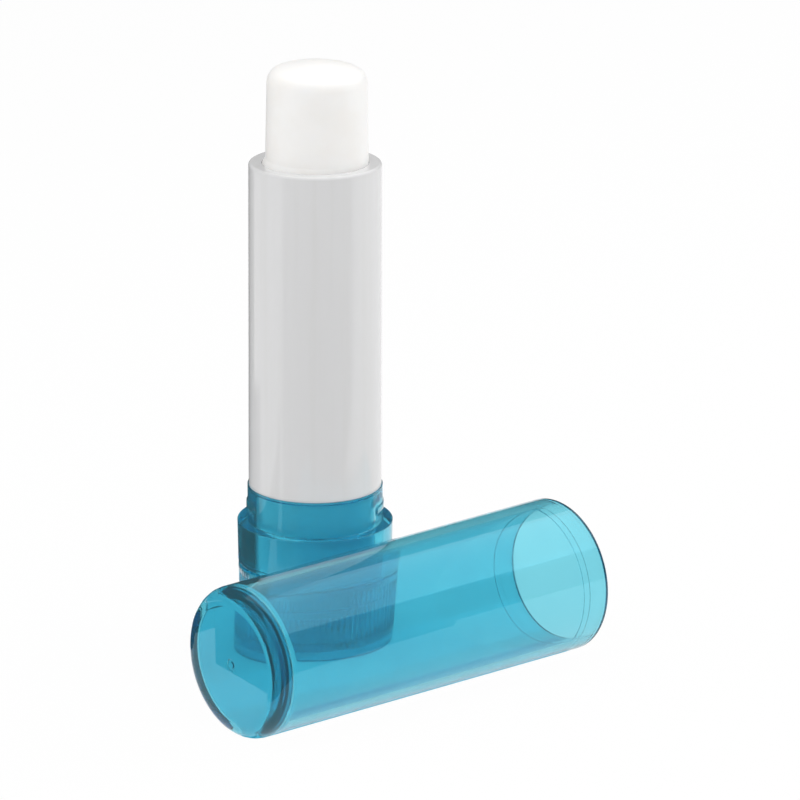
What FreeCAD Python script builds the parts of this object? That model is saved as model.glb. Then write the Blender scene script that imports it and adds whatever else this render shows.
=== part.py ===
import FreeCAD, Part
import os

import Sketcher

# Lip balm stick with its cap off. The stick stands on its dial with the balm wound out,
# and the cap lies on its side in front. Lengths are millimetres, angles degrees.
# The origin is on the stick's axis at the floor, +Z goes up the stick,
# and the mouth of the lying cap looks along +X.

doc = FreeCAD.newDocument("lip_balm_stick")
sheet = doc.addObject("Spreadsheet::Sheet", "Sizes")

sizes = {
    # dial: ribbed knob with a recessed floor, a hub for the screw and a lip that snaps over the barrel
    "foot_radius": 9.15,
    "dial_radius": 9.38,
    "dial_top": 10.55,
    "foot_recess_radius": 7.95,
    "foot_recess_top": 1.2,
    "dial_floor_top": 2.4,
    "dial_cavity_radius": 7.9,
    "dial_lip_radius": 7.35,
    "dial_lip_bottom": 7.3,
    "hub_radius": 3.4,
    "hub_top": 6.4,
    "socket_side": 3.2,
    "socket_bottom": 2.9,
    "socket_depth": 3.5,
    "foot_round": 0.2,
    "dial_top_round": 0.12,
    # grip ribs: shallow V grooves round the dial leave the ribs between them
    "rib_count": 80,
    "rib_bottom": 2.5,
    "rib_length": 7.2,
    "rib_groove_root": 9.03,
    "rib_groove_half": 0.28,
    "rib_groove_outside": 9.55,
    # collar: smooth shoulder ring with the neck that the cap pushes on to
    "collar_bottom": 10.9,
    "collar_radius": 9.4,
    "shoulder_radius": 9.5,
    "shoulder_top": 16.1,
    "neck_radius": 8.25,
    "neck_top": 20.2,
    "collar_bore": 7.27,
    "neck_round": 0.3,
    "shoulder_round": 0.12,
    "snap_radius": 8.39,
    "snap_bottom": 17.6,
    "snap_top": 18.5,
    "snap_root": 8.0,
    "snap_count": 2,
    "snap_arc": 54,
    "snap_bearing": -38.7,
    # barrel: white tube whose thin spigot passes through the collar into the dial
    "barrel_top": 60.9,
    "barrel_radius_low": 8.1,
    "barrel_radius_high": 8.0,
    "barrel_bore": 6.4,
    "spigot_radius": 7.25,
    "spigot_bottom": 6.0,
    "bead_radius": 7.6,
    "bead_top": 7.0,
    "rim_round": 0.35,
    "rim_bore_round": 0.3,
    "guide_span": 13.6,
    "guide_width": 1.5,
    "guide_length": 51.5,
    # spindle: long screw with a square key in the dial's hub and a flange that closes the barrel
    "key_side": 3.16,
    "key_bottom": 2.95,
    "key_length": 3.45,
    "shank_radius": 2.4,
    "flange_radius": 6.2,
    "flange_bottom": 8.0,
    "flange_top": 9.2,
    "core_radius": 1.8,
    "spindle_top": 55.0,
    "thread_root": 1.6,
    "thread_crest": 2.8,
    "thread_root_half": 0.75,
    "thread_crest_half": 0.42,
    "thread_start": 10.4,
    "thread_lead": 4.0,
    "thread_rise": 43.6,
    # carrier: nut and cup in one piece, kept from turning by two lugs in the barrel's grooves
    "carrier_bottom": 22.6,
    "carrier_radius": 6.25,
    "nut_top": 27.6,
    "cup_radius": 5.5,
    "cup_top": 29.8,
    "nut_bore": 2.0,
    "nut_groove_inside": 1.85,
    "nut_groove_crest": 3.0,
    "nut_groove_root_half": 0.86,
    "nut_groove_crest_half": 0.56,
    "nut_thread_rise": 12.0,
    "lug_span": 13.3,
    "lug_width": 1.2,
    "lug_bottom": 23.4,
    "lug_length": 3.2,
    # balm: wax stick with a blind hole round the screw
    "balm_radius": 6.18,
    "balm_taper_bottom": 61.5,
    "balm_tip_radius": 5.98,
    "balm_hole_radius": 3.1,
    "balm_hole_top": 69.2,
    "balm_side_top": 72.2,
    "balm_top": 73.0,
    "balm_round": 1.86,
    # cap, from its mouth at 0 to its closed end, with a wider land inside the mouth
    "cap_length": 50.4,
    "cap_mouth_radius": 9.45,
    "cap_end_radius": 9.1,
    "cap_land_radius": 8.42,
    "cap_land_length": 2.5,
    "cap_bore_radius": 8.28,
    "cap_bore_end_radius": 8.12,
    "cap_bore_length": 47.8,
    "cap_end_round": 2.0,
    "cap_bore_round": 0.6,
    "cap_lip_round": 0.2,
    "cap_mouth_across": 22.0,
    "cap_in_front": 19.9,
}

for row, (alias, number) in enumerate(sizes.items(), start=1):
    sheet.set(f"A{row}", alias)
    sheet.set(f"B{row}", str(number))
    sheet.setAlias(f"B{row}", alias)
doc.recompute()


def value(words):
    """Number for a sum of cells such as 'dial_top - foot_round'; no words mean 0."""
    total = 0.0
    sign = 1
    for word in words.split():
        if word in ("+", "-"):
            sign = 1 if word == "+" else -1
        else:
            total += sign * sizes[word]
    return total


def bind(item, path, words):
    """Tie one property of an object to a sum of cells."""
    terms = [word if word in ("+", "-") else f"Sizes.{word}" for word in words.split()]
    item.setExpression(path, " ".join(terms))


def origin_feature(body, role):
    return next(item for item in body.Origin.OriginFeatures if item.Role == role)


def new_body(label):
    body = doc.addObject("PartDesign::Body", label)
    body.Label = label
    return body


def new_sketch(body, name, role, lift=""):
    """Sketch on one of the body's own planes, raised by a sum of cells."""
    sketch = body.newObject("Sketcher::SketchObject", name)
    sketch.AttachmentSupport = (origin_feature(body, role), [""])
    sketch.MapMode = "FlatFace"
    if lift:
        bind(sketch, "AttachmentOffset.Base.z", lift)
    return sketch


def place_corner(sketch, line, across, up):
    """Hold a line's first point at its distances from the sketch's two axes."""
    for kind, words, axis in (("DistanceX", across, -2), ("DistanceY", up, -1)):
        if words:
            index = sketch.addConstraint(Sketcher.Constraint(kind, -1, 1, line, 1, value(words)))
            bind(sketch, f"Constraints[{index}]", words)
        else:
            sketch.addConstraint(Sketcher.Constraint("PointOnObject", line, 1, axis))


def crown_arc(edge, tip):
    """Arc from an edge point up to a tip on the axis, about a centre on the axis."""
    rise = tip.y - edge.y
    radius = (edge.x ** 2 + rise ** 2) / (2 * rise)
    centre = FreeCAD.Vector(0, tip.y - radius, 0)
    middle = (edge - centre).normalize() + (tip - centre).normalize()
    return Part.Arc(edge, centre + middle.normalize() * radius, tip)


def draw_outline(sketch, corners, crown=None):
    """Closed outline through the corners; the side after corner number crown is a crowned top."""
    points = [FreeCAD.Vector(value(across), value(up), 0) for across, up in corners]
    sides = []
    for number, point in enumerate(points):
        following = points[(number + 1) % len(points)]
        shape = crown_arc(point, following) if number == crown else Part.LineSegment(point, following)
        sides.append(sketch.addGeometry(shape, False))
    for side, following in zip(sides, sides[1:] + sides[:1]):
        sketch.addConstraint(Sketcher.Constraint("Coincident", side, 2, following, 1))
    for side, (across, up) in zip(sides, corners):
        place_corner(sketch, side, across, up)
    if crown is not None:
        sketch.addConstraint(Sketcher.Constraint("PointOnObject", sides[crown], 3, -2))


def draw_bar(sketch, along, across):
    """Rectangle centred on the sketch's origin."""
    half_x = value(along) / 2
    half_y = value(across) / 2
    corners = [(-half_x, -half_y), (half_x, -half_y), (half_x, half_y), (-half_x, half_y)]
    points = [FreeCAD.Vector(x, y, 0) for x, y in corners]
    sides = []
    for start, end in zip(points, points[1:] + points[:1]):
        sides.append(sketch.addGeometry(Part.LineSegment(start, end), False))
    for side, following in zip(sides, sides[1:] + sides[:1]):
        sketch.addConstraint(Sketcher.Constraint("Coincident", side, 2, following, 1))
    sketch.addConstraint(Sketcher.Constraint("Horizontal", sides[0]))
    sketch.addConstraint(Sketcher.Constraint("Vertical", sides[1]))
    sketch.addConstraint(Sketcher.Constraint("Horizontal", sides[2]))
    sketch.addConstraint(Sketcher.Constraint("Symmetric", sides[0], 1, sides[2], 1, -1, 1))
    width = sketch.addConstraint(Sketcher.Constraint("DistanceX", sides[0], 1, sides[0], 2, 2 * half_x))
    depth = sketch.addConstraint(Sketcher.Constraint("DistanceY", sides[1], 1, sides[1], 2, 2 * half_y))
    bind(sketch, f"Constraints[{width}]", along)
    bind(sketch, f"Constraints[{depth}]", across)


def add_revolved(body, name, corners, crown=None):
    """Solid of revolution about the body's Z axis; corners are (radius, height)."""
    sketch = new_sketch(body, name + "_outline", "XZ_Plane")
    draw_outline(sketch, corners, crown)
    turned = body.newObject("PartDesign::Revolution", name)
    turned.Profile = sketch
    turned.ReferenceAxis = (sketch, ["V_Axis"])
    turned.Angle = 360
    return turned


def add_pad(body, name, sketch, length):
    pad = body.newObject("PartDesign::Pad", name)
    pad.Profile = sketch
    bind(pad, "Length", length)
    return pad


def add_cut(body, name, sketch, length):
    """Pocket from the sketch upwards, which has to take material away."""
    doc.recompute()
    before = body.Shape.Volume
    cut = body.newObject("PartDesign::Pocket", name)
    cut.Profile = sketch
    cut.Reversed = True
    bind(cut, "Length", length)
    doc.recompute()
    if body.Shape.Volume > before - 0.01:
        raise RuntimeError(f"{name} cuts nothing")
    return cut


def add_ring_pattern(body, name, feature, count):
    pattern = body.newObject("PartDesign::PolarPattern", name)
    pattern.Originals = [feature]
    pattern.Axis = (origin_feature(body, "Z_Axis"), [""])
    pattern.Angle = 360
    bind(pattern, "Occurrences", count)
    body.Tip = pattern
    return pattern


def add_thread(body, kind, name, start, corners, rise):
    """Right-hand helical ridge or groove; corners are (radius, sign, half width) about the start height."""
    sketch = new_sketch(body, name + "_section", "XZ_Plane")
    draw_outline(sketch, [(radius, f"{start} {sign} {half}") for radius, sign, half in corners])
    thread = body.newObject(kind, name)
    thread.Profile = sketch
    thread.ReferenceAxis = (sketch, ["V_Axis"])
    thread.Mode = 0
    bind(thread, "Pitch", "thread_lead")
    bind(thread, "Height", rise)
    thread.Angle = 0
    thread.LeftHanded = False
    thread.Reversed = False
    thread.HasBeenEdited = True
    return thread


def round_edges(body, name, radius, circles):
    """Fillet the circular edges given as (radius, height)."""
    doc.recompute()
    base = body.Tip
    wanted = [(value(across), value(up)) for across, up in circles]
    edges = []
    for number, edge in enumerate(base.Shape.Edges, start=1):
        if edge.Degenerated or not isinstance(edge.Curve, Part.Circle):
            continue
        found = (edge.Curve.Radius, edge.Curve.Center.z)
        if any(abs(found[0] - across) + abs(found[1] - up) < 0.001 for across, up in wanted):
            edges.append(f"Edge{number}")
    if len(edges) < len(circles):
        raise RuntimeError(f"{name} finds {len(edges)} of {len(circles)} edges")
    fillet = body.newObject("PartDesign::Fillet", name)
    fillet.Base = (base, edges)
    bind(fillet, "Radius", radius)
    return fillet


def draw_groove(sketch):
    """V notch that opens outwards across the dial's wall, even about the X axis."""
    root = FreeCAD.Vector(value("rib_groove_root"), 0, 0)
    outside = value("rib_groove_outside")
    half = value("rib_groove_half")
    left = FreeCAD.Vector(outside, half, 0)
    right = FreeCAD.Vector(outside, -half, 0)
    sides = []
    for start, end in ((root, right), (right, left), (left, root)):
        sides.append(sketch.addGeometry(Part.LineSegment(start, end), False))
    for side, following in zip(sides, sides[1:] + sides[:1]):
        sketch.addConstraint(Sketcher.Constraint("Coincident", side, 2, following, 1))
    sketch.addConstraint(Sketcher.Constraint("PointOnObject", sides[0], 1, -1))
    sketch.addConstraint(Sketcher.Constraint("Symmetric", sides[1], 1, sides[1], 2, -1))
    reach = sketch.addConstraint(Sketcher.Constraint("DistanceX", -1, 1, sides[0], 1, root.x))
    open_at = sketch.addConstraint(Sketcher.Constraint("DistanceX", -1, 1, sides[1], 1, outside))
    spread = sketch.addConstraint(Sketcher.Constraint("DistanceY", -1, 1, sides[1], 2, half))
    bind(sketch, f"Constraints[{reach}]", "rib_groove_root")
    bind(sketch, f"Constraints[{open_at}]", "rib_groove_outside")
    bind(sketch, f"Constraints[{spread}]", "rib_groove_half")


def make_dial():
    body = new_body("dial")
    add_revolved(body, "dial_knob", [
        ("", "foot_recess_top"),
        ("foot_recess_radius", "foot_recess_top"),
        ("foot_recess_radius", ""),
        ("foot_radius", ""),
        ("dial_radius", "dial_top"),
        ("dial_lip_radius", "dial_top"),
        ("dial_lip_radius", "dial_lip_bottom"),
        ("dial_cavity_radius", "dial_lip_bottom"),
        ("dial_cavity_radius", "dial_floor_top"),
        ("hub_radius", "dial_floor_top"),
        ("hub_radius", "hub_top"),
        ("", "hub_top"),
    ])
    round_edges(body, "foot_edge", "foot_round", [("foot_radius", "")])
    round_edges(body, "dial_edge", "dial_top_round", [("dial_radius", "dial_top")])
    socket = new_sketch(body, "socket_outline", "XY_Plane", "socket_bottom")
    draw_bar(socket, "socket_side", "socket_side")
    add_cut(body, "socket", socket, "socket_depth")
    groove = new_sketch(body, "rib_groove_outline", "XY_Plane", "rib_bottom")
    draw_groove(groove)
    first_groove = add_cut(body, "rib_groove", groove, "rib_length")
    add_ring_pattern(body, "ribs", first_groove, "rib_count")
    return body


def make_collar():
    body = new_body("collar")
    add_revolved(body, "collar_ring", [
        ("collar_bore", "collar_bottom"),
        ("collar_radius", "collar_bottom"),
        ("shoulder_radius", "shoulder_top"),
        ("neck_radius", "shoulder_top"),
        ("neck_radius", "neck_top"),
        ("collar_bore", "neck_top"),
    ])
    round_edges(body, "neck_edge", "neck_round", [("neck_radius", "neck_top")])
    round_edges(body, "shoulder_edge", "shoulder_round", [("shoulder_radius", "shoulder_top")])
    snap = add_revolved(body, "snap_lug", [
        ("snap_root", "snap_bottom"),
        ("snap_radius", "snap_bottom"),
        ("snap_radius", "snap_top"),
        ("snap_root", "snap_top"),
    ])
    bind(snap, "Angle", "snap_arc")
    snap.Midplane = True
    add_ring_pattern(body, "snap_lugs", snap, "snap_count")
    body.Placement.Rotation = FreeCAD.Rotation(FreeCAD.Vector(0, 0, 1), sizes["snap_bearing"])
    bind(body, "Placement.Rotation.Angle", "snap_bearing")
    return body


def make_barrel():
    body = new_body("barrel")
    add_revolved(body, "barrel_tube", [
        ("barrel_bore", "spigot_bottom"),
        ("bead_radius", "spigot_bottom"),
        ("bead_radius", "bead_top"),
        ("spigot_radius", "bead_top"),
        ("spigot_radius", "neck_top"),
        ("barrel_radius_low", "neck_top"),
        ("barrel_radius_high", "barrel_top"),
        ("barrel_bore", "barrel_top"),
    ])
    round_edges(body, "rim_edge", "rim_round", [("barrel_radius_high", "barrel_top")])
    round_edges(body, "rim_bore_edge", "rim_bore_round", [("barrel_bore", "barrel_top")])
    guide = new_sketch(body, "guide_outline", "XY_Plane", "spigot_bottom")
    draw_bar(guide, "guide_span", "guide_width")
    add_cut(body, "guide_grooves", guide, "guide_length")
    return body


def make_spindle():
    body = new_body("spindle")
    add_revolved(body, "spindle_shaft", [
        ("", "hub_top"),
        ("shank_radius", "hub_top"),
        ("shank_radius", "flange_bottom"),
        ("flange_radius", "flange_bottom"),
        ("flange_radius", "flange_top"),
        ("core_radius", "flange_top"),
        ("core_radius", "spindle_top"),
        ("", "spindle_top"),
    ])
    key = new_sketch(body, "key_outline", "XY_Plane", "key_bottom")
    draw_bar(key, "key_side", "key_side")
    add_pad(body, "key", key, "key_length")
    add_thread(body, "PartDesign::AdditiveHelix", "screw_thread", "thread_start", [
        ("thread_root", "-", "thread_root_half"),
        ("thread_crest", "-", "thread_crest_half"),
        ("thread_crest", "+", "thread_crest_half"),
        ("thread_root", "+", "thread_root_half"),
    ], "thread_rise")
    return body


def make_carrier():
    body = new_body("carrier")
    add_revolved(body, "carrier_cup", [
        ("", "carrier_bottom"),
        ("carrier_radius", "carrier_bottom"),
        ("carrier_radius", "cup_top"),
        ("cup_radius", "cup_top"),
        ("cup_radius", "nut_top"),
        ("", "nut_top"),
    ])
    lugs = new_sketch(body, "lug_outline", "XY_Plane", "lug_bottom")
    draw_bar(lugs, "lug_span", "lug_width")
    add_pad(body, "guide_lugs", lugs, "lug_length")
    bore = new_sketch(body, "nut_bore_outline", "XY_Plane", "carrier_bottom")
    circle = Part.Circle(FreeCAD.Vector(0, 0, 0), FreeCAD.Vector(0, 0, 1), sizes["nut_bore"])
    ring = bore.addGeometry(circle, False)
    bore.addConstraint(Sketcher.Constraint("Coincident", ring, 3, -1, 1))
    size = bore.addConstraint(Sketcher.Constraint("Radius", ring, sizes["nut_bore"]))
    bind(bore, f"Constraints[{size}]", "nut_bore")
    add_cut(body, "nut_hole", bore, "cup_top - carrier_bottom")
    # The nut's groove starts two turns up the screw's own helix, so the two are in mesh.
    add_thread(body, "PartDesign::SubtractiveHelix", "nut_thread", "thread_start + thread_lead + thread_lead", [
        ("nut_groove_inside", "-", "nut_groove_root_half"),
        ("nut_groove_crest", "-", "nut_groove_crest_half"),
        ("nut_groove_crest", "+", "nut_groove_crest_half"),
        ("nut_groove_inside", "+", "nut_groove_root_half"),
    ], "nut_thread_rise")
    return body


def make_balm():
    body = new_body("balm")
    add_revolved(body, "balm_stick", [
        ("balm_hole_radius", "nut_top"),
        ("cup_radius", "nut_top"),
        ("cup_radius", "cup_top"),
        ("balm_radius", "cup_top"),
        ("balm_radius", "balm_taper_bottom"),
        ("balm_tip_radius", "balm_side_top"),
        ("", "balm_top"),
        ("", "balm_hole_top"),
        ("balm_hole_radius", "balm_hole_top"),
    ], crown=5)
    round_edges(body, "balm_edge", "balm_round", [("balm_tip_radius", "balm_side_top")])
    return body


def make_cap():
    body = new_body("cap")
    add_revolved(body, "cap_shell", [
        ("cap_land_radius", ""),
        ("cap_mouth_radius", ""),
        ("cap_end_radius", "cap_length"),
        ("", "cap_length"),
        ("", "cap_bore_length"),
        ("cap_bore_end_radius", "cap_bore_length"),
        ("cap_bore_radius", "cap_land_length"),
        ("cap_land_radius", "cap_land_length"),
    ])
    round_edges(body, "cap_end_edge", "cap_end_round", [("cap_end_radius", "cap_length")])
    round_edges(body, "cap_bore_edge", "cap_bore_round", [("cap_bore_end_radius", "cap_bore_length")])
    round_edges(body, "cap_lip_edge", "cap_lip_round", [("cap_mouth_radius", "")])
    # The cap lies on its tapered wall, so its axis dips by the taper towards the closed end.
    body.Placement.Rotation = FreeCAD.Rotation(FreeCAD.Vector(0, 1, 0), -90)
    taper = "atan((Sizes.cap_mouth_radius - Sizes.cap_end_radius) / Sizes.cap_length)"
    body.setExpression("Placement.Rotation.Angle", f"-90 - {taper} / 1 deg")
    body.setExpression("Placement.Base.x", "Sizes.cap_mouth_across")
    body.setExpression("Placement.Base.y", "-Sizes.cap_in_front")
    body.setExpression("Placement.Base.z", f"Sizes.cap_mouth_radius * cos({taper})")
    return body


bodies = [
    make_dial(),
    make_collar(),
    make_barrel(),
    make_spindle(),
    make_carrier(),
    make_balm(),
    make_cap(),
]
doc.recompute()

for item in doc.Objects:
    if "Invalid" in item.State or "Error" in item.State:
        raise RuntimeError(f"{item.Name} failed: {item.State}")
for body in bodies:
    if body.Shape.isNull() or not body.Shape.isValid() or len(body.Shape.Solids) != 1:
        raise RuntimeError(f"{body.Label} is not one valid solid")

os.makedirs("parts", exist_ok=True)
for body in bodies:
    body.Shape.exportStep(f"parts/{body.Label}.step")
    box = body.Shape.optimalBoundingBox(False)
    print(f"{body.Label}: {body.Shape.Volume:.1f} mm3, "
          f"x {box.XMin:.2f} to {box.XMax:.2f}, y {box.YMin:.2f} to {box.YMax:.2f}, "
          f"z {box.ZMin:.2f} to {box.ZMax:.2f}")
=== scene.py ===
import math

import bmesh
import bpy
from mathutils import Matrix, Vector


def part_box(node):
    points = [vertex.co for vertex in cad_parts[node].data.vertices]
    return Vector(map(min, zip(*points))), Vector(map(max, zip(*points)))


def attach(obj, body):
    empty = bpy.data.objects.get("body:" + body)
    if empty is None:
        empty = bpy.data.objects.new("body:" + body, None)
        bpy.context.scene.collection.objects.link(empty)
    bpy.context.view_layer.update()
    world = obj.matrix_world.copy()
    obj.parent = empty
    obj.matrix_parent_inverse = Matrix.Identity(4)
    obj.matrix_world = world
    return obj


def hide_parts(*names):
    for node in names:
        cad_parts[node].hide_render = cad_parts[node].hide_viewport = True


# Lip balm stick with its cap off. Sizes in the dictionaries are millimetres and degrees,
# meshes are metres. The stick stands on the origin and the cap lies in front of it.

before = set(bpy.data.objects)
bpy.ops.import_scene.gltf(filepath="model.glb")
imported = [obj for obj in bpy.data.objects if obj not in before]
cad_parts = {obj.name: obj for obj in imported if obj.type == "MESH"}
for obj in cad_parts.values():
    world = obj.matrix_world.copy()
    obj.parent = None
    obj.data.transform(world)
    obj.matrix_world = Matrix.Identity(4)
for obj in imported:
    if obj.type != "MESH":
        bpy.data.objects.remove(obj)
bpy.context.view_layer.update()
mm = 0.001
print("frame loaded:", ", ".join(sorted(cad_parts)))


class Wire:  # one output socket: arithmetic on it adds Math nodes to its tree
    def __init__(self, graph, socket):
        self.graph = graph
        self.socket = socket

    def out(self, name):  # another output of the same node
        return Wire(self.graph, self.socket.node.outputs[name])

    def __add__(self, other):
        return self.graph.calculate("ADD", self, other)

    def __radd__(self, other):
        return self.graph.calculate("ADD", other, self)

    def __sub__(self, other):
        return self.graph.calculate("SUBTRACT", self, other)

    def __rsub__(self, other):
        return self.graph.calculate("SUBTRACT", other, self)

    def __mul__(self, other):
        return self.graph.calculate("MULTIPLY", self, other)

    def __rmul__(self, other):
        return self.graph.calculate("MULTIPLY", other, self)


class Graph:  # a node tree that is filled node by node
    def __init__(self, tree):
        self.tree = tree

    def node(self, kind, settings=None, inputs=None, output=0):
        made = self.tree.nodes.new(kind)
        for name, value in (settings or {}).items():
            setattr(made, name, value)
        for key, value in (inputs or {}).items():
            if isinstance(value, Wire):
                self.tree.links.new(value.socket, made.inputs[key])
            else:
                made.inputs[key].default_value = value
        return Wire(self, made.outputs[output]) if made.outputs else None

    def calculate(self, operation, first, second=0.0):
        return self.node("ShaderNodeMath", {"operation": operation}, {0: first, 1: second})

    def ease(self, value, start, end):  # 0 below start, 1 above end, smooth between
        inputs = {"Value": value, "From Min": start, "From Max": end}
        return self.node("ShaderNodeMapRange", {"interpolation_type": "SMOOTHSTEP"}, inputs)

    def noise(self, place, scale, detail):
        return self.node("ShaderNodeTexNoise", None, {"Vector": place, "Scale": scale, "Detail": detail})

    def blend(self, factor, first, second):  # between two colours
        return self.node("ShaderNodeMix", {"data_type": "RGBA"}, {0: factor, 6: first, 7: second}, 2)


def newMaterial(name):
    material = bpy.data.materials.new(name)
    material.use_nodes = True
    material.node_tree.nodes.clear()
    return material, Graph(material.node_tree)


# Clear blue plastic of the cap, the collar and the dial

clearBlue = {
    "absorbs": (0.0, 0.775, 0.875, 1.0),  # red is taken most, so deep walls turn teal
    "perMetre": 200.0,
    "ior": 1.58,
    "clearness": 0.925,  # the rest is a faint milkiness in the plastic
    "colour": (0.27, 0.757, 0.879, 1.0),
    "hazeColour": (0.26, 0.737, 0.864, 1.0),
    "sheenTint": (0.5, 0.85, 0.95, 1.0),
    "smooth": 0.015,
    "hazy": 0.06,
    "hazeScale": 210.0,
    "hazeDetail": 5.0,
    "hazeFrom": 0.42,
    "hazeTo": 0.72,
    "rippleScale": 120.0,
    "rippleDetail": 2.0,
    "rippleHeight": 0.004,
}


def makeClearBlue():
    material, graph = newMaterial("clearBluePlastic")
    place = graph.node("ShaderNodeTexCoord", output="Object")
    cloud = graph.noise(place, clearBlue["hazeScale"], clearBlue["hazeDetail"])
    haze = graph.ease(cloud, clearBlue["hazeFrom"], clearBlue["hazeTo"])
    ripple = graph.noise(place, clearBlue["rippleScale"], clearBlue["rippleDetail"])
    bump = graph.node("ShaderNodeBump", None, {
        "Height": ripple, "Distance": clearBlue["rippleHeight"] * mm, "Strength": 1.0})
    plastic = graph.node("ShaderNodeBsdfPrincipled", None, {
        "Base Color": graph.blend(haze, clearBlue["colour"], clearBlue["hazeColour"]),
        "Roughness": clearBlue["smooth"] + (clearBlue["hazy"] - clearBlue["smooth"]) * haze,
        "Transmission Weight": clearBlue["clearness"],
        "IOR": clearBlue["ior"],
        "Specular Tint": clearBlue["sheenTint"],
        "Normal": bump,
    })
    tint = graph.node("ShaderNodeVolumeAbsorption", None, {
        "Color": clearBlue["absorbs"], "Density": clearBlue["perMetre"]})
    graph.node("ShaderNodeOutputMaterial", None, {"Surface": plastic, "Volume": tint})
    return material


# Glossy white plastic of the barrel

glossWhite = {
    "colour": (0.72, 0.72, 0.725, 1.0),
    "streakColour": (0.707, 0.707, 0.707, 1.0),
    "streakScale": 700.0,
    "streakDetail": 4.0,
    "streakFrom": 0.45,
    "streakTo": 0.7,
    "streakStretch": 0.03,
    "smooth": 0.09,
    "dull": 0.2,
    "dullScale": 300.0,
    "dullDetail": 5.0,
    "dullFrom": 0.4,
    "dullTo": 0.75,
    "peelScale": 900.0,
    "peelDetail": 2.0,
    "peelHeight": 0.0015,
    "ior": 1.5,
}


def makeGlossWhite():
    material, graph = newMaterial("glossWhitePlastic")
    place = graph.node("ShaderNodeTexCoord", output="Object")
    along = graph.node("ShaderNodeMapping", None, {
        "Vector": place, "Scale": (1.0, 1.0, glossWhite["streakStretch"])})
    grain = graph.noise(along, glossWhite["streakScale"], glossWhite["streakDetail"])
    streak = graph.ease(grain, glossWhite["streakFrom"], glossWhite["streakTo"])
    wear = graph.noise(place, glossWhite["dullScale"], glossWhite["dullDetail"])
    dull = graph.ease(wear, glossWhite["dullFrom"], glossWhite["dullTo"])
    peel = graph.noise(place, glossWhite["peelScale"], glossWhite["peelDetail"])
    bump = graph.node("ShaderNodeBump", None, {
        "Height": peel, "Distance": glossWhite["peelHeight"] * mm, "Strength": 1.0})
    plastic = graph.node("ShaderNodeBsdfPrincipled", None, {
        "Base Color": graph.blend(streak, glossWhite["colour"], glossWhite["streakColour"]),
        "Roughness": glossWhite["smooth"] + (glossWhite["dull"] - glossWhite["smooth"]) * dull,
        "IOR": glossWhite["ior"],
        "Normal": bump,
    })
    graph.node("ShaderNodeOutputMaterial", None, {"Surface": plastic})
    return material


# Plain white plastic of the screw and the carrier inside

plainWhite = {
    "colour": (0.8, 0.8, 0.79, 1.0),
    "flowColour": (0.75, 0.75, 0.73, 1.0),
    "flowScale": 400.0,
    "flowDetail": 4.0,
    "smooth": 0.32,
    "dull": 0.5,
    "grainScale": 4000.0,
    "grainDetail": 2.0,
    "grainHeight": 0.003,
}


def makePlainWhite():
    material, graph = newMaterial("plainWhitePlastic")
    place = graph.node("ShaderNodeTexCoord", output="Object")
    flow = graph.noise(place, plainWhite["flowScale"], plainWhite["flowDetail"])
    grain = graph.noise(place, plainWhite["grainScale"], plainWhite["grainDetail"])
    bump = graph.node("ShaderNodeBump", None, {
        "Height": grain, "Distance": plainWhite["grainHeight"] * mm, "Strength": 1.0})
    plastic = graph.node("ShaderNodeBsdfPrincipled", None, {
        "Base Color": graph.blend(flow, plainWhite["colour"], plainWhite["flowColour"]),
        "Roughness": plainWhite["smooth"] + (plainWhite["dull"] - plainWhite["smooth"]) * flow,
        "Normal": bump,
    })
    graph.node("ShaderNodeOutputMaterial", None, {"Surface": plastic})
    return material


# Wax of the balm

wax = {
    "colour": (0.93, 0.92, 0.905, 1.0),
    "cloudColour": (0.9, 0.885, 0.86, 1.0),
    "cloudScale": 160.0,
    "cloudDetail": 4.0,
    "cloudFrom": 0.35,
    "cloudTo": 0.7,
    "cloudHeight": 2.0,  # beside the drawn lines
    "satin": 0.34,
    "matt": 0.55,
    "drawScale": 900.0,
    "drawDetail": 3.0,
    "drawStretch": 0.06,
    "drawHeight": 0.004,
    "softWeight": 0.35,
    "softRadius": (1.0, 0.92, 0.85),
    "softScale": 1.2,
    "ior": 1.44,
}


def makeWax():
    material, graph = newMaterial("balmWax")
    place = graph.node("ShaderNodeTexCoord", output="Object")
    patches = graph.noise(place, wax["cloudScale"], wax["cloudDetail"])
    cloud = graph.ease(patches, wax["cloudFrom"], wax["cloudTo"])
    along = graph.node("ShaderNodeMapping", None, {
        "Vector": place, "Scale": (1.0, 1.0, wax["drawStretch"])})
    drawn = graph.noise(along, wax["drawScale"], wax["drawDetail"])
    bump = graph.node("ShaderNodeBump", None, {
        "Height": drawn + wax["cloudHeight"] * cloud, "Distance": wax["drawHeight"] * mm,
        "Strength": 1.0})
    soft = graph.node("ShaderNodeBsdfPrincipled", None, {
        "Base Color": graph.blend(cloud, wax["colour"], wax["cloudColour"]),
        "Roughness": wax["satin"] + (wax["matt"] - wax["satin"]) * cloud,
        "Subsurface Weight": wax["softWeight"],
        "Subsurface Radius": wax["softRadius"],
        "Subsurface Scale": wax["softScale"] * mm,
        "IOR": wax["ior"],
        "Normal": bump,
    })
    graph.node("ShaderNodeOutputMaterial", None, {"Surface": soft})
    return material


bluePlastic = makeClearBlue()
tubePlastic = makeGlossWhite()
innerPlastic = makePlainWhite()
balmWax = makeWax()
print("materials made:", len(bpy.data.materials))


# Turned meshes: an outline of rounded corners spun about the Z axis

turning = {"arcSteps": 6, "support": 0.04}  # a ring beside each arc keeps the flats flat


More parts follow.
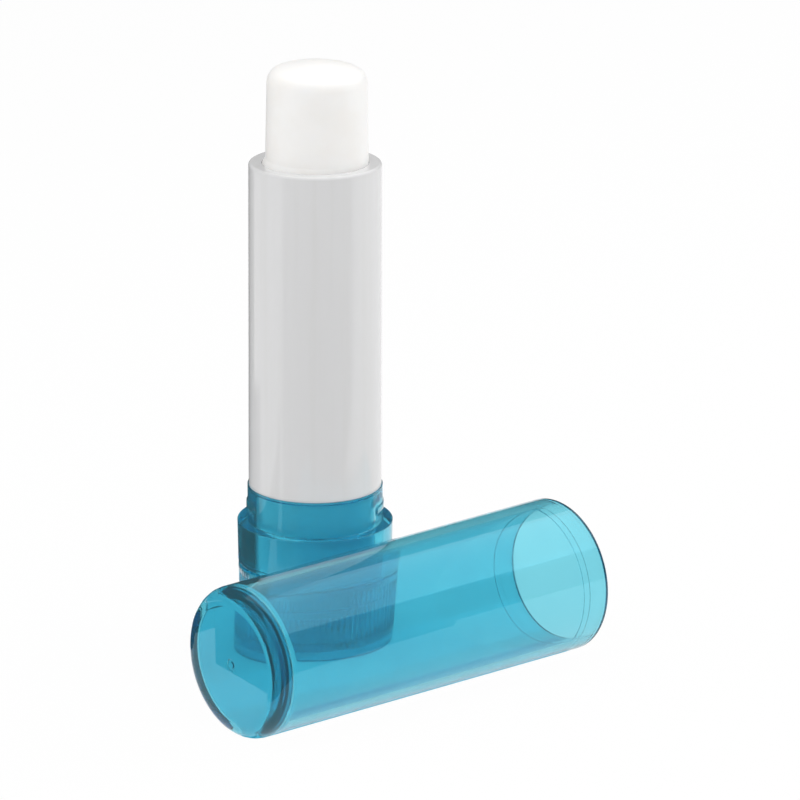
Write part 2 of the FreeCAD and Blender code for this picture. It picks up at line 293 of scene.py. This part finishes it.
def roundedOutline(corners):  # corners are (radius, height, rounding)
    points = []
    for number, (radius, height, rounding) in enumerate(corners):
        corner = Vector((radius, height))
        if not rounding:
            points.append(corner)
            continue
        before = Vector(corners[number - 1][:2]) - corner
        after = Vector(corners[(number + 1) % len(corners)][:2]) - corner
        half = before.angle(after) / 2
        before.normalize()
        after.normalize()
        reach = rounding / math.tan(half)
        centre = corner + (before + after).normalized() * (rounding / math.sin(half))
        start = corner + before * reach - centre
        end = corner + after * reach - centre
        sweep = math.pi - 2 * half
        points.append(corner + before * (reach + turning["support"]))
        for step in range(turning["arcSteps"] + 1):
            part = step / turning["arcSteps"]
            turned = start * math.sin((1 - part) * sweep) + end * math.sin(part * sweep)
            points.append(centre + turned / math.sin(sweep))
        points.append(corner + after * (reach + turning["support"]))
    return points


def spin(name, outline, steps, closed):
    shape = bmesh.new()
    rings = []
    for radius, height in outline:
        around = steps if radius > 0 else 1
        ring = []
        for turn in range(around):
            angle = 2 * math.pi * turn / steps
            ring.append(shape.verts.new(Vector((
                radius * math.cos(angle), radius * math.sin(angle), height)) * mm))
        rings.append(ring)
    pairs = list(zip(rings, rings[1:]))
    if closed:
        pairs.append((rings[-1], rings[0]))
    for low, high in pairs:
        if len(low) + len(high) == 2:  # a gap along the axis
            continue
        for turn in range(steps):
            corners = [low[turn % len(low)], low[(turn + 1) % len(low)],
                       high[(turn + 1) % len(high)], high[turn % len(high)]]
            shape.faces.new(list(dict.fromkeys(corners)))  # a pole counts once
    bmesh.ops.recalc_face_normals(shape, faces=shape.faces)
    for face in shape.faces:
        face.smooth = True
    mesh = bpy.data.meshes.new(name)
    shape.to_mesh(mesh)
    shape.free()
    piece = bpy.data.objects.new(name, mesh)
    bpy.context.scene.collection.objects.link(piece)
    return piece


def makeTurned(name, corners, steps, closed):
    return spin(name, roundedOutline(corners), steps, closed)


# Relief that repeats round a turned piece: grip ribs, snap lugs and guide grooves

reliefSizes = ("Count", "Bearing", "Height", "Flank", "Crest", "Bottom", "Top", "Soft", "Inner", "Outer")


def buildReliefTree():
    tree = bpy.data.node_groups.new("radialRelief", "GeometryNodeTree")
    tree.interface.new_socket("Mesh", in_out="INPUT", socket_type="NodeSocketGeometry")
    for name in reliefSizes:
        tree.interface.new_socket(name, in_out="INPUT", socket_type="NodeSocketFloat")
    tree.interface.new_socket("Material", in_out="INPUT", socket_type="NodeSocketMaterial")
    tree.interface.new_socket("Mesh", in_out="OUTPUT", socket_type="NodeSocketGeometry")
    graph = Graph(tree)
    given = graph.node("NodeGroupInput")
    size = {name: given.out(name) for name in reliefSizes}
    across = graph.node("ShaderNodeSeparateXYZ", None, {0: graph.node("GeometryNodeInputPosition")})
    height = across.out("Z")
    flat = graph.node("ShaderNodeCombineXYZ", None, {"X": across.out("X"), "Y": across.out("Y")})
    radius = graph.node("ShaderNodeVectorMath", {"operation": "LENGTH"}, {0: flat}, "Value")
    angle = graph.calculate("ARCTAN2", across.out("Y"), across.out("X"))
    wave = graph.calculate("COSINE", (angle - size["Bearing"]) * size["Count"])
    pattern = graph.ease(wave, size["Flank"], size["Crest"])
    rise = graph.ease(height, size["Bottom"] - size["Soft"], size["Bottom"] + size["Soft"])
    fall = graph.ease(height, size["Top"] - size["Soft"], size["Top"] + size["Soft"])
    beyond = graph.calculate("GREATER_THAN", radius, size["Inner"])
    within = graph.calculate("LESS_THAN", radius, size["Outer"])
    push = size["Height"] * pattern * rise * (1 - fall) * beyond * within
    outwards = graph.node("ShaderNodeVectorMath", {"operation": "NORMALIZE"}, {0: flat})
    offset = graph.node("ShaderNodeVectorMath", {"operation": "SCALE"}, {0: outwards, "Scale": push})
    moved = graph.node("GeometryNodeSetPosition", None, {"Geometry": given.out("Mesh"), "Offset": offset})
    real = graph.node("GeometryNodeRealizeInstances", None, {0: moved})
    dressed = graph.node("GeometryNodeSetMaterial", None, {0: real, "Material": given.out("Material")})
    graph.node("NodeGroupOutput", None, {0: dressed})
    return tree


reliefTree = buildReliefTree()


def addRelief(piece, material, sizes):
    modifier = piece.modifiers.new("relief", "NODES")
    modifier.node_group = reliefTree
    inputs = [item for item in reliefTree.interface.items_tree if item.in_out == "INPUT"]
    identifiers = {item.name: item.identifier for item in inputs}
    for name, value in sizes.items():
        modifier[identifiers[name]] = value
    modifier[identifiers["Material"]] = material
    evaluated = piece.evaluated_get(bpy.context.evaluated_depsgraph_get())
    shaped = bpy.data.meshes.new_from_object(evaluated)
    piece.modifiers.remove(modifier)
    piece.data = shaped


def bandHeights(bottom, top, soft):  # rings that a band of relief needs at its soft ends
    return [end + step for end in (bottom, top) for step in (-soft, 0, soft)]


def arcCosine(count, degrees):  # the wave's value at that angle from a crest
    return math.cos(count * math.radians(degrees))


def settle(piece, body, node):
    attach(piece, body)
    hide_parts(node)
    print("made", piece.name, "for", node, "with", len(piece.data.polygons), "faces")


# Dial: ribbed knob with a foot ring, a recessed floor and a hub

dial = {
    "footRadius": 9.15,
    "topRadius": 9.38,
    "recessRadius": 7.95,
    "recessTop": 1.2,
    "floorTop": 2.4,
    "cavityRadius": 7.9,
    "lipRadius": 7.35,
    "lipBottom": 7.3,
    "hubRadius": 3.4,
    "hubTop": 6.4,
    "socketRadius": 2.28,
    "socketBottom": 2.9,
    "ribCount": 80,
    "ribSteps": 8,
    "ribBottom": 2.62,
    "ribTop": 9.58,
    "ribSoft": 0.12,
    "ribDepth": 0.26,
    "ribFlank": -0.4,
    "ribCrest": 1.0,
    "ribInside": 0.4,  # the relief moves what lies between the cavity and the outer wall
    "ribOutside": 1.0,
    "edge": 0.12,
    "footEdge": 0.2,
}


def makeDial():
    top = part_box("dial")[1].z / mm
    edge = dial["edge"]

    def wall(height):  # radius of the outer wall, which widens upwards
        return dial["footRadius"] + (dial["topRadius"] - dial["footRadius"]) * height / top

    ribHeights = bandHeights(dial["ribBottom"], dial["ribTop"], dial["ribSoft"])
    corners = [
        (0, dial["recessTop"], 0),
        (dial["recessRadius"], dial["recessTop"], edge),
        (dial["recessRadius"], 0, edge),
        (dial["footRadius"], 0, dial["footEdge"]),
        *[(wall(height), height, 0) for height in ribHeights],
        (dial["topRadius"], top, edge),
        (dial["lipRadius"], top, edge),
        (dial["lipRadius"], dial["lipBottom"], edge),
        (dial["cavityRadius"], dial["lipBottom"], edge),
        (dial["cavityRadius"], dial["floorTop"], edge),
        (dial["hubRadius"], dial["floorTop"], edge),
        (dial["hubRadius"], dial["hubTop"], edge),
        (dial["socketRadius"], dial["hubTop"], edge),
        (dial["socketRadius"], dial["socketBottom"], edge),
        (0, dial["socketBottom"], 0),
    ]
    piece = makeTurned("dialKnob", corners, dial["ribCount"] * dial["ribSteps"], False)
    addRelief(piece, bluePlastic, {
        "Count": float(dial["ribCount"]), "Bearing": 0.0, "Height": -dial["ribDepth"] * mm,
        "Flank": dial["ribFlank"], "Crest": dial["ribCrest"],
        "Bottom": dial["ribBottom"] * mm, "Top": dial["ribTop"] * mm, "Soft": dial["ribSoft"] * mm,
        "Inner": (dial["cavityRadius"] + dial["ribInside"]) * mm,
        "Outer": (dial["topRadius"] + dial["ribOutside"]) * mm,
    })
    settle(piece, "dial_unit", "dial")


# Collar: smooth shoulder with the neck that takes the cap

collar = {
    "bottomRadius": 9.4,
    "shoulderRadius": 9.5,
    "shoulderTop": 16.1,
    "neckRadius": 8.25,
    "bore": 7.27,
    "lipHeight": 0.4,  # thin lip that laps the foot of the barrel
    "lipBore": 8.13,
    "lipEdge": 0.04,
    "edge": 0.1,
    "steps": 360,
    "lugCount": 2,
    "lugBearing": -38.7,
    "lugHalfArc": 27.0,
    "lugRamp": 1.5,
    "lugHeight": 0.14,
    "lugReach": 0.2,
    "lugBottom": 17.6,
    "lugTop": 18.5,
    "lugSoft": 0.07,
}


def makeCollar():
    low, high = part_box("collar")
    bottom = low.z / mm
    top = high.z / mm
    edge = collar["edge"]
    lugHeights = bandHeights(collar["lugBottom"], collar["lugTop"], collar["lugSoft"])
    corners = [
        (collar["bore"], bottom, edge),
        (collar["bottomRadius"], bottom, edge),
        (collar["shoulderRadius"], collar["shoulderTop"], edge),
        (collar["neckRadius"], collar["shoulderTop"], edge),
        *[(collar["neckRadius"], height, 0) for height in lugHeights],
        (collar["neckRadius"], top + collar["lipHeight"], collar["lipEdge"]),
        (collar["lipBore"], top + collar["lipHeight"], collar["lipEdge"]),
        (collar["lipBore"], top, 0),
        (collar["bore"], top, edge),
    ]
    piece = makeTurned("collarRing", corners, collar["steps"], True)
    addRelief(piece, bluePlastic, {
        "Count": float(collar["lugCount"]), "Bearing": math.radians(collar["lugBearing"]),
        "Height": collar["lugHeight"] * mm,
        "Flank": arcCosine(collar["lugCount"], collar["lugHalfArc"]),
        "Crest": arcCosine(collar["lugCount"], collar["lugHalfArc"] - collar["lugRamp"]),
        "Bottom": collar["lugBottom"] * mm, "Top": collar["lugTop"] * mm,
        "Soft": collar["lugSoft"] * mm,
        "Inner": (collar["neckRadius"] - collar["lugReach"]) * mm,
        "Outer": (collar["neckRadius"] + collar["lugReach"]) * mm,
    })
    settle(piece, "barrel_unit", "collar")


# Barrel: white tube, its spigot inside the collar and the guide grooves in its bore

barrel = {
    "lowRadius": 8.1,
    "highRadius": 8.0,
    "foot": 20.2,
    "bore": 6.4,
    "spigotRadius": 7.25,
    "beadRadius": 7.6,
    "beadTop": 7.0,
    "rimEdge": 0.35,
    "rimBoreEdge": 0.12,
    "edge": 0.08,
    "steps": 360,
    "grooveCount": 2,
    "grooveDepth": 0.4,
    "grooveHalfArc": 6.9,
    "grooveRamp": 1.1,
    "grooveReach": 0.2,
    "grooveTop": 57.5,
    "grooveSoft": 0.1,
}


def makeBarrel():
    low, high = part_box("barrel")
    bottom = low.z / mm
    top = high.z / mm
    edge = barrel["edge"]
    corners = [
        (barrel["bore"], bottom, edge),
        (barrel["beadRadius"], bottom, edge),
        (barrel["beadRadius"], barrel["beadTop"], edge),
        (barrel["spigotRadius"], barrel["beadTop"], edge),
        (barrel["spigotRadius"], barrel["foot"], edge),
        (barrel["lowRadius"], barrel["foot"], edge),
        (barrel["highRadius"], top, barrel["rimEdge"]),
        (barrel["bore"], top, barrel["rimBoreEdge"]),
        (barrel["bore"], barrel["grooveTop"] + barrel["grooveSoft"], 0),
        (barrel["bore"], barrel["grooveTop"] - barrel["grooveSoft"], 0),
    ]
    piece = makeTurned("barrelTube", corners, barrel["steps"], True)
    addRelief(piece, tubePlastic, {
        "Count": float(barrel["grooveCount"]), "Bearing": 0.0, "Height": barrel["grooveDepth"] * mm,
        "Flank": arcCosine(barrel["grooveCount"], barrel["grooveHalfArc"]),
        "Crest": arcCosine(barrel["grooveCount"], barrel["grooveHalfArc"] - barrel["grooveRamp"]),
        "Bottom": 0.0, "Top": barrel["grooveTop"] * mm, "Soft": barrel["grooveSoft"] * mm,
        "Inner": (barrel["bore"] - barrel["grooveReach"]) * mm,
        "Outer": (barrel["bore"] + barrel["grooveReach"]) * mm,
    })
    settle(piece, "barrel_unit", "barrel")


# Balm: wax stick that leans a little in the barrel, with a worn tip

balm = {
    "radius": 6.18,
    "fillRadius": 6.37,
    "fillTop": 60.8,
    "taperBottom": 61.5,
    "taperRound": 0.4,
    "tipRadius": 5.98,
    "tipRound": 1.86,
    "crown": 0.8,
    "crownSteps": 5,
    "crownSpread": 0.62,
    "cupRadius": 5.5,
    "cupTop": 29.8,
    "holeRadius": 3.1,
    "holeTop": 69.2,
    "edge": 0.1,
    "steps": 256,
    "shift": 0.2,
    "shiftBearing": -39.6,
    "wornFrom": 69.0,
    "wornBy": 0.16,
}


def makeBalm():
    low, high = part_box("balm")
    bottom = low.z / mm
    top = high.z / mm
    edge = balm["edge"]
    sideTop = top - balm["crown"]
    dome = (balm["tipRadius"] ** 2 + balm["crown"] ** 2) / (2 * balm["crown"])
    crownPoints = []
    for step in range(1, balm["crownSteps"] + 1):
        radius = balm["tipRadius"] * (1 - step / balm["crownSteps"]) * balm["crownSpread"]
        crownPoints.append((radius, top - dome + math.sqrt(dome ** 2 - radius ** 2), 0))
    corners = [
        (balm["holeRadius"], bottom, edge),
        (balm["cupRadius"], bottom, edge),
        (balm["cupRadius"], balm["cupTop"], edge),
        (balm["fillRadius"], balm["cupTop"], edge),
        (balm["fillRadius"], balm["fillTop"], balm["taperRound"]),
        (balm["radius"], balm["taperBottom"], balm["taperRound"]),
        (balm["tipRadius"], sideTop, balm["tipRound"]),
        *crownPoints,
    ]
    inside = [
        (0, balm["holeTop"], 0),
        (balm["holeRadius"], balm["holeTop"], edge),
    ]
    piece = makeTurned("balmStick", corners + inside, balm["steps"], True)
    bearing = math.radians(balm["shiftBearing"])
    aside = Vector((math.cos(bearing), math.sin(bearing), 0))
    for vertex in piece.data.vertices:
        across = vertex.co.dot(aside) / (balm["radius"] * mm)
        height = (vertex.co.z / mm - balm["wornFrom"]) / (top - balm["wornFrom"])
        vertex.co.z -= balm["wornBy"] * mm * max(across, 0) * max(height, 0)
        free = (vertex.co.z / mm - balm["fillTop"]) / (balm["taperBottom"] - balm["fillTop"])
        vertex.co += aside * balm["shift"] * mm * min(max(free, 0), 1)
    piece.data.materials.append(balmWax)
    settle(piece, "balm_unit", "balm")


# Cap: clear shell lying on its tapered wall, its mouth to the right

cap = {
    "length": 50.4,
    "mouthRadius": 9.45,
    "endRadius": 9.1,
    "landRadius": 8.42,
    "landLength": 2.5,
    "beadRadius": 8.28,
    "beadTop": 3.4,
    "boreRadius": 8.4,
    "boreEndRadius": 8.12,
    "boreLength": 47.8,
    "endRound": 2.0,
    "boreRound": 0.6,
    "lipRound": 0.2,
    "mouthRound": 0.32,
    "edge": 0.03,
    "gateRadius": 0.75,
    "gateDepth": 0.18,
    "gatePip": 0.35,
    "gateDrop": 0.03,
    "gateSlope": 0.08,
    "gateRound": 0.05,
    "mouthAcross": 22.0,
    "steps": 360,
}


def makeCap():
    end = cap["length"]
    slope = cap["gateSlope"]
    gateRound = cap["gateRound"]
    corners = [
        (0, end - cap["gateDrop"], 0),
        (cap["gatePip"], end - cap["gateDrop"], gateRound),
        (cap["gatePip"] + slope, end - cap["gateDepth"], gateRound),
        (cap["gateRadius"] - slope, end - cap["gateDepth"], gateRound),
        (cap["gateRadius"], end, gateRound),
        (cap["endRadius"], end, cap["endRound"]),
        (cap["mouthRadius"], 0, cap["lipRound"]),
        (cap["landRadius"], 0, cap["mouthRound"]),
        (cap["landRadius"], cap["landLength"], cap["edge"]),
        (cap["beadRadius"], cap["landLength"], cap["edge"]),
        (cap["beadRadius"], cap["beadTop"], cap["edge"]),
        (cap["boreRadius"], cap["beadTop"], cap["edge"]),
        (cap["boreEndRadius"], cap["boreLength"], cap["boreRound"]),
        (0, cap["boreLength"], 0),
    ]
    piece = makeTurned("capShell", corners, cap["steps"], False)
    low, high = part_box("cap")
    taper = math.atan((cap["mouthRadius"] - cap["endRadius"]) / cap["length"])
    lift = cap["mouthRadius"] * math.cos(taper)  # of the mouth's centre over the floor
    place = Vector((cap["mouthAcross"] * mm, (low.y + high.y) / 2, lift * mm))
    turn = Matrix.Rotation(-math.pi / 2 - taper, 4, "Y")
    piece.data.transform(Matrix.Translation(place) @ turn)
    piece.data.materials.append(bluePlastic)
    piece.visible_diffuse = False  # keeps its blue off the tube
    settle(piece, "cap_unit", "cap")


makeDial()
makeCollar()
makeBarrel()
makeBalm()
makeCap()
for node in ("spindle", "carrier"):
    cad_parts[node].data.materials.clear()
    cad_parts[node].data.materials.append(innerPlastic)


# Studio: white floor and room, soft boxes, dark flags and a blue card under the cap painted with the
# light it lets through

studio = {
    "floorSide": 4000.0,
    "floorDrop": 0.02,
    "floorColour": (0.86, 0.86, 0.86, 1.0),
    "floorClean": 0.93,  # how much of its shade the camera doesn't see
    "floorThrough": 0.35,  # the same through clear plastic
    "roomLight": 0.75,
    "roomSheen": 0.06,  # what gloss shows of the room
    "bounces": 24,  # clear walls pass light on many times
    "glossBlur": 0.0,
}


def addSheet(name, corners, material):
    mesh = bpy.data.meshes.new(name)
    mesh.from_pydata(corners, [], [tuple(range(len(corners)))])
    sheet = bpy.data.objects.new(name, mesh)
    sheet.data.materials.append(material)
    bpy.context.scene.collection.objects.link(sheet)
    return sheet


def addFloor():
    material, graph = newMaterial("floorPaper")
    path = graph.node("ShaderNodeLightPath")
    seen = path.out("Is Camera Ray") * studio["floorClean"]
    through = path.out("Is Transmission Ray") * studio["floorThrough"]
    shown = graph.calculate("MAXIMUM", seen, through)
    paper = graph.node("ShaderNodeBsdfDiffuse", None, {"Color": studio["floorColour"]})
    white = graph.node("ShaderNodeEmission", None, {"Strength": 1.0})
    mixed = graph.node("ShaderNodeMixShader", None, {0: shown, 1: paper, 2: white})
    graph.node("ShaderNodeOutputMaterial", None, {"Surface": mixed})
    half = studio["floorSide"] / 2 * mm
    level = -studio["floorDrop"] * mm
    corners = [(-half, -half, level), (half, -half, level), (half, half, level), (-half, half, level)]
    addSheet("floor", corners, material)


def addRoom():
    world = bpy.data.worlds.new("studioRoom")
    world.use_nodes = True
    world.node_tree.nodes.clear()
    bpy.context.scene.world = world
    graph = Graph(world.node_tree)
    path = graph.node("ShaderNodeLightPath")
    shown = graph.calculate("MAXIMUM", path.out("Is Camera Ray"), path.out("Is Transmission Ray"))
    sheen = path.out("Is Glossy Ray") * (1 - shown)
    strength = (studio["roomLight"] + (1.0 - studio["roomLight"]) * shown
                + (studio["roomSheen"] - studio["roomLight"]) * sheen)
    room = graph.node("ShaderNodeBackground", None, {"Strength": strength})
    graph.node("ShaderNodeOutputWorld", None, {"Surface": room})


softBoxes = {  # a box without a light for gloss doesn't show in gloss at all
    "overheadBox": {"place": (300, -110, 520), "aim": (300, -110, 0), "size": (1200, 780),
                    "light": 1.0, "gloss": 3.0},
    "leftBox": {"place": (-420, 260, 160), "aim": (0, 0, 35), "size": (420, 420),
                "light": 0.9, "gloss": 0.0},
    "rightBox": {"place": (450, -160, 180), "aim": (0, 0, 35), "size": (420, 420),
                 "light": 0.5, "gloss": 0.0},
    "topBox": {"place": (-45, -55, 125), "aim": (0, 0, 62), "size": (40, 40),
               "light": 2.0, "gloss": 0.0},
}


def addSoftBox(name, box, light, glossOnly):
    width, depth = (side * mm for side in box["size"])
    lamp = bpy.data.lights.new(name, "AREA")
    lamp.shape = "RECTANGLE"
    lamp.size = width
    lamp.size_y = depth
    lamp.energy = light * math.pi * width * depth
    holder = bpy.data.objects.new(name, lamp)
    place = Vector(box["place"]) * mm
    holder.location = place
    holder.rotation_euler = (Vector(box["aim"]) * mm - place).to_track_quat("-Z", "Y").to_euler()
    holder.visible_diffuse = not glossOnly
    holder.visible_transmission = not glossOnly
    holder.visible_glossy = glossOnly or box["gloss"] > 0
    bpy.context.scene.collection.objects.link(holder)


def paintCard(name, colour):
    material, graph = newMaterial(name)
    paint = graph.node("ShaderNodeBsdfDiffuse", None, {"Color": colour})
    graph.node("ShaderNodeOutputMaterial", None, {"Surface": paint})
    return material


def addCard(name, corners, material, through):  # shows in gloss, and through clear plastic if asked
    sheet = addSheet(name, [Vector(corner) * mm for corner in corners], material)
    sheet.visible_camera = False
    sheet.visible_diffuse = False
    sheet.visible_shadow = False
    sheet.visible_transmission = through


flags = {  # dark cards that stand on the floor, with their feet along a line
    "behindLeftFlag": {"feet": ((17, 27), (-6, 32), (-22, 24)), "height": 26,
                       "grey": 0.05, "through": True},
    "frontFlag": {"feet": ((-42, 1), (-36, -48), (60, -112)), "height": 330,
                  "grey": 0.02, "through": False},
    "capEndFlag": {"feet": ((-75, 11), (-14, 11)), "height": 14,
                   "grey": 0.02, "through": False},
    "tubeEdgeFlag": {"feet": ((14, 36), (-2, 40), (-14, 38)), "height": 75,
                     "grey": 0.05, "through": False},
}


def addFlag(name, flag):
    grey = flag["grey"]
    height = flag["height"]
    material = paintCard(name + "Card", (grey, grey, grey, 1.0))
    for number, (start, end) in enumerate(zip(flag["feet"], flag["feet"][1:])):
        corners = [(*start, 0), (*end, 0), (*end, height), (*start, height)]
        addCard(f"{name}{number}", corners, material, flag["through"])


paintedCapLight = {  # painted pool of the blue light that the cap lets through, laid as a blue card on the floor under it
    "along": (-27.5, 21.5),
    "across": (-23.4, -20.2),
    "level": -0.01,
    "colour": (0.1, 0.56, 0.75, 1.0),
}


def addPaintedCapLight():
    left, right = paintedCapLight["along"]
    front, back = paintedCapLight["across"]
    level = paintedCapLight["level"]
    corners = [(left, front, level), (right, front, level), (right, back, level), (left, back, level)]
    # painted light: a plain blue diffuse card, no lamp, stands in for the cap's blue light on the floor
    addCard("paintedCapLight", corners, paintCard("paintedCapLightCard", paintedCapLight["colour"]), True)


view = {
    "place": (-342.675, -429.078, 199.099),
    "heading": -39.686,
    "pitch": 17.007,
    "roll": 0.337,
    "lens": 212.92,
    "sensor": 36.0,
    "near": 10.0,
    "far": 20000.0,
}


def addCamera():
    eye = bpy.data.cameras.new("photoView")
    eye.lens = view["lens"]
    eye.sensor_width = view["sensor"]
    eye.clip_start = view["near"] * mm
    eye.clip_end = view["far"] * mm
    holder = bpy.data.objects.new("photoView", eye)
    heading = Matrix.Rotation(math.radians(view["heading"]), 4, "Z")
    pitch = Matrix.Rotation(math.radians(90 - view["pitch"]), 4, "X")
    roll = Matrix.Rotation(math.radians(view["roll"]), 4, "Z")
    holder.matrix_world = Matrix.Translation(Vector(view["place"]) * mm) @ heading @ pitch @ roll
    bpy.context.scene.collection.objects.link(holder)
    bpy.context.scene.camera = holder


addFloor()
addRoom()
for name, box in softBoxes.items():
    addSoftBox(name, box, box["light"], False)
    if box["gloss"]:
        addSoftBox(name + "Gloss", box, box["gloss"], True)
for name, flag in flags.items():
    addFlag(name, flag)
addPaintedCapLight()
addCamera()
bpy.context.scene.view_settings.view_transform = "Standard"
paths = bpy.context.scene.cycles
paths.max_bounces = studio["bounces"]
paths.transmission_bounces = studio["bounces"]
paths.glossy_bounces = studio["bounces"]
paths.blur_glossy = studio["glossBlur"]
print("studio set")
